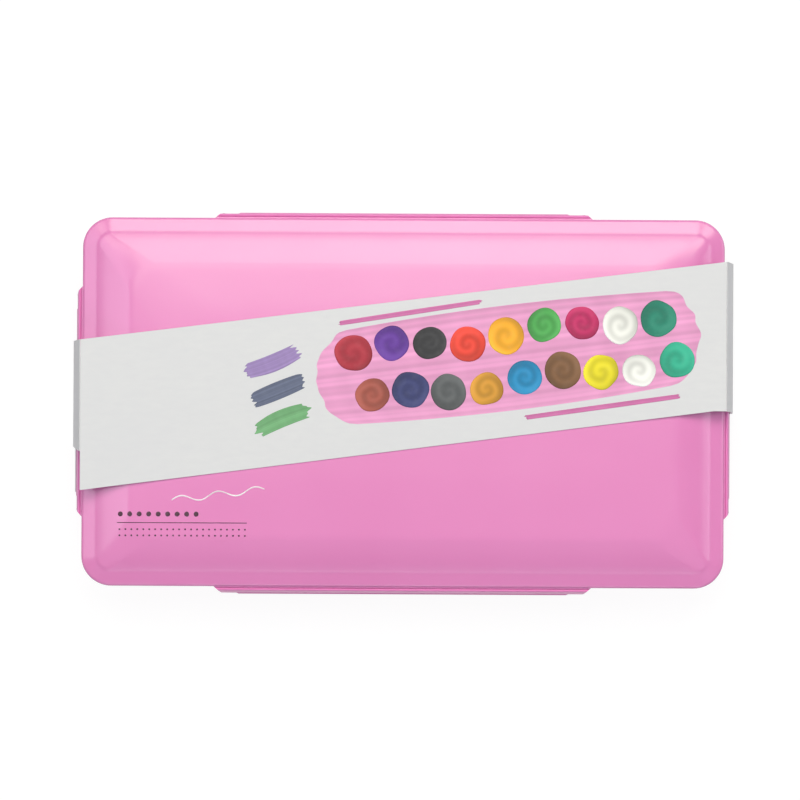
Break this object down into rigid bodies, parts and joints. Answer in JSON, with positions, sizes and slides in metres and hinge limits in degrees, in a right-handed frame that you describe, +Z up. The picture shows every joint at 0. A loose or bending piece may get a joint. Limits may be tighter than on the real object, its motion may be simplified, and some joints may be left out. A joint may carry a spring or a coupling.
{
  "type": "gouache paint set",
  "caption": "Closed pink plastic box of jelly gouache cups with a palette and a brush trough under a snap-latched lid, wrapped in a slanted white card band",
  "frame": {"origin": "middle of the card panel that the closed box lies on, in the plane of the table", "axes": "+X along the box to the right as pictured, +Y towards its back long side, +Z up out of the lid"},
  "size_m": [0.3214, 0.1856, 0.0459],
  "materials": {
    "tray_plastic": "satin",
    "lid_plastic": "satin",
    "palette_plastic": "satin",
    "cup_plastic": "gloss",
    "card": "matte",
    "paint_crimson": "satin",
    "paint_burnt_sienna": "satin",
    "paint_violet": "satin",
    "paint_navy": "satin",
    "paint_black": "satin",
    "paint_dark_grey": "satin",
    "paint_vermilion": "satin",
    "paint_yellow_ochre": "satin",
    "paint_golden_yellow": "satin",
    "paint_sky_blue": "satin",
    "paint_green": "satin",
    "paint_raw_umber": "satin",
    "paint_magenta": "satin",
    "paint_lemon_yellow": "satin",
    "paint_white_one": "satin",
    "paint_white_two": "satin",
    "paint_viridian": "satin",
    "paint_emerald": "satin"
  },
  "bodies": {
    "base": {"base_shell": "tray_plastic", "cup_rack": "tray_plastic"},
    "lid": {"lid_shell": "lid_plastic"},
    "palette": {"palette": "palette_plastic"},
    "latch_front": {"latch_front": "lid_plastic"},
    "latch_back": {"latch_back": "lid_plastic"},
    "latch_left": {"latch_left": "lid_plastic"},
    "latch_right": {"latch_right": "lid_plastic"},
    "cup_01": {"cup_01": "cup_plastic", "paint_01": "paint_crimson"},
    "cup_02": {"cup_02": "cup_plastic", "paint_02": "paint_burnt_sienna"},
    "cup_03": {"cup_03": "cup_plastic", "paint_03": "paint_violet"},
    "cup_04": {"cup_04": "cup_plastic", "paint_04": "paint_navy"},
    "cup_05": {"cup_05": "cup_plastic", "paint_05": "paint_black"},
    "cup_06": {"cup_06": "cup_plastic", "paint_06": "paint_dark_grey"},
    "cup_07": {"cup_07": "cup_plastic", "paint_07": "paint_vermilion"},
    "cup_08": {"cup_08": "cup_plastic", "paint_08": "paint_yellow_ochre"},
    "cup_09": {"cup_09": "cup_plastic", "paint_09": "paint_golden_yellow"},
    "cup_10": {"cup_10": "cup_plastic", "paint_10": "paint_sky_blue"},
    "cup_11": {"cup_11": "cup_plastic", "paint_11": "paint_green"},
    "cup_12": {"cup_12": "cup_plastic", "paint_12": "paint_raw_umber"},
    "cup_13": {"cup_13": "cup_plastic", "paint_13": "paint_magenta"},
    "cup_14": {"cup_14": "cup_plastic", "paint_14": "paint_lemon_yellow"},
    "cup_15": {"cup_15": "cup_plastic", "paint_15": "paint_white_one"},
    "cup_16": {"cup_16": "cup_plastic", "paint_16": "paint_white_two"},
    "cup_17": {"cup_17": "cup_plastic", "paint_17": "paint_viridian"},
    "cup_18": {"cup_18": "cup_plastic", "paint_18": "paint_emerald"},
    "band": {"band_front": "card"},
    "band_left": {"band_left_end": "card"},
    "band_right": {"band_right_end": "card"},
    "band_under": {"band_under": "card"}
  },
  "joints": [
    {"name": "lid_lift", "type": "slide", "parent": "base", "child": "lid", "axis": [0, 0, 1], "range_m": [0, 0.07]},
    {"name": "latch_left_hinge", "type": "hinge", "parent": "lid", "child": "latch_left", "pos_m": [-0.15735, 0, 0.0342], "axis": [0, 1, 0], "range_deg": [0, 110]},
    {"name": "latch_right_hinge", "type": "hinge", "parent": "lid", "child": "latch_right", "pos_m": [0.15735, 0, 0.0342], "axis": [0, -1, 0], "range_deg": [0, 110]},
    {"name": "latch_front_hinge", "type": "hinge", "parent": "lid", "child": "latch_front", "pos_m": [0, -0.0909, 0.0342], "axis": [-1, 0, 0], "range_deg": [0, 110]},
    {"name": "latch_back_hinge", "type": "hinge", "parent": "lid", "child": "latch_back", "pos_m": [0, 0.0909, 0.0342], "axis": [1, 0, 0], "range_deg": [0, 110]},
    {"name": "palette_lift", "type": "slide", "parent": "base", "child": "palette", "axis": [0, 0, 1], "range_m": [0, 0.05]},
    {"name": "cup_01_lift", "type": "slide", "parent": "base", "child": "cup_01", "axis": [0, 0, 1], "range_m": [0, 0.03]},
    {"name": "cup_02_lift", "type": "slide", "parent": "base", "child": "cup_02", "axis": [0, 0, 1], "range_m": [0, 0.03]},
    {"name": "cup_03_lift", "type": "slide", "parent": "base", "child": "cup_03", "axis": [0, 0, 1], "range_m": [0, 0.03]},
    {"name": "cup_04_lift", "type": "slide", "parent": "base", "child": "cup_04", "axis": [0, 0, 1], "range_m": [0, 0.03]},
    {"name": "cup_05_lift", "type": "slide", "parent": "base", "child": "cup_05", "axis": [0, 0, 1], "range_m": [0, 0.03]},
    {"name": "cup_06_lift", "type": "slide", "parent": "base", "child": "cup_06", "axis": [0, 0, 1], "range_m": [0, 0.03]},
    {"name": "cup_07_lift", "type": "slide", "parent": "base", "child": "cup_07", "axis": [0, 0, 1], "range_m": [0, 0.03]},
    {"name": "cup_08_lift", "type": "slide", "parent": "base", "child": "cup_08", "axis": [0, 0, 1], "range_m": [0, 0.03]},
    {"name": "cup_09_lift", "type": "slide", "parent": "base", "child": "cup_09", "axis": [0, 0, 1], "range_m": [0, 0.03]},
    {"name": "cup_10_lift", "type": "slide", "parent": "base", "child": "cup_10", "axis": [0, 0, 1], "range_m": [0, 0.03]},
    {"name": "cup_11_lift", "type": "slide", "parent": "base", "child": "cup_11", "axis": [0, 0, 1], "range_m": [0, 0.03]},
    {"name": "cup_12_lift", "type": "slide", "parent": "base", "child": "cup_12", "axis": [0, 0, 1], "range_m": [0, 0.03]},
    {"name": "cup_13_lift", "type": "slide", "parent": "base", "child": "cup_13", "axis": [0, 0, 1], "range_m": [0, 0.03]},
    {"name": "cup_14_lift", "type": "slide", "parent": "base", "child": "cup_14", "axis": [0, 0, 1], "range_m": [0, 0.03]},
    {"name": "cup_15_lift", "type": "slide", "parent": "base", "child": "cup_15", "axis": [0, 0, 1], "range_m": [0, 0.03]},
    {"name": "cup_16_lift", "type": "slide", "parent": "base", "child": "cup_16", "axis": [0, 0, 1], "range_m": [0, 0.03]},
    {"name": "cup_17_lift", "type": "slide", "parent": "base", "child": "cup_17", "axis": [0, 0, 1], "range_m": [0, 0.03]},
    {"name": "cup_18_lift", "type": "slide", "parent": "base", "child": "cup_18", "axis": [0, 0, 1], "range_m": [0, 0.03]},
    {"name": "band_slide", "type": "slide", "parent": "lid", "child": "band", "axis": [0, 1, 0], "range_m": [0, 0.15]},
    {"name": "band_under_slide", "type": "slide", "parent": "base", "child": "band_under", "axis": [0, 1, 0], "range_m": [0, 0.15]},
    {"name": "band_left_crease", "type": "hinge", "parent": "band", "child": "band_left", "pos_m": [-0.15685, 0, 0.0457], "axis": [0, 1, 0], "range_deg": [0, 110]},
    {"name": "band_right_crease", "type": "hinge", "parent": "band", "child": "band_right", "pos_m": [0.15685, 0, 0.0457], "axis": [0, -1, 0], "range_deg": [0, 110]}
  ],
  "couplings": [
    {"joint": "latch_front_hinge", "follows": "lid_lift", "rad_per_m": 27.4},
    {"joint": "latch_back_hinge", "follows": "lid_lift", "rad_per_m": 27.4},
    {"joint": "latch_left_hinge", "follows": "lid_lift", "rad_per_m": 27.4},
    {"joint": "latch_right_hinge", "follows": "lid_lift", "rad_per_m": 27.4},
    {"joint": "band_left_crease", "follows": "lid_lift", "rad_per_m": 27.4},
    {"joint": "band_right_crease", "follows": "lid_lift", "rad_per_m": 27.4},
    {"joint": "palette_lift", "follows": "lid_lift", "ratio": 0.7},
    {"joint": "cup_01_lift", "follows": "lid_lift", "ratio": 0.42},
    {"joint": "cup_02_lift", "follows": "lid_lift", "ratio": 0.42},
    {"joint": "cup_03_lift", "follows": "lid_lift", "ratio": 0.42},
    {"joint": "cup_04_lift", "follows": "lid_lift", "ratio": 0.42},
    {"joint": "cup_05_lift", "follows": "lid_lift", "ratio": 0.42},
    {"joint": "cup_06_lift", "follows": "lid_lift", "ratio": 0.42},
    {"joint": "cup_07_lift", "follows": "lid_lift", "ratio": 0.42},
    {"joint": "cup_08_lift", "follows": "lid_lift", "ratio": 0.42},
    {"joint": "cup_09_lift", "follows": "lid_lift", "ratio": 0.42},
    {"joint": "cup_10_lift", "follows": "lid_lift", "ratio": 0.42},
    {"joint": "cup_11_lift", "follows": "lid_lift", "ratio": 0.42},
    {"joint": "cup_12_lift", "follows": "lid_lift", "ratio": 0.42},
    {"joint": "cup_13_lift", "follows": "lid_lift", "ratio": 0.42},
    {"joint": "cup_14_lift", "follows": "lid_lift", "ratio": 0.42},
    {"joint": "cup_15_lift", "follows": "lid_lift", "ratio": 0.42},
    {"joint": "cup_16_lift", "follows": "lid_lift", "ratio": 0.42},
    {"joint": "cup_17_lift", "follows": "lid_lift", "ratio": 0.42},
    {"joint": "cup_18_lift", "follows": "lid_lift", "ratio": 0.42},
    {"joint": "band_under_slide", "follows": "band_slide", "ratio": 1}
  ]
}
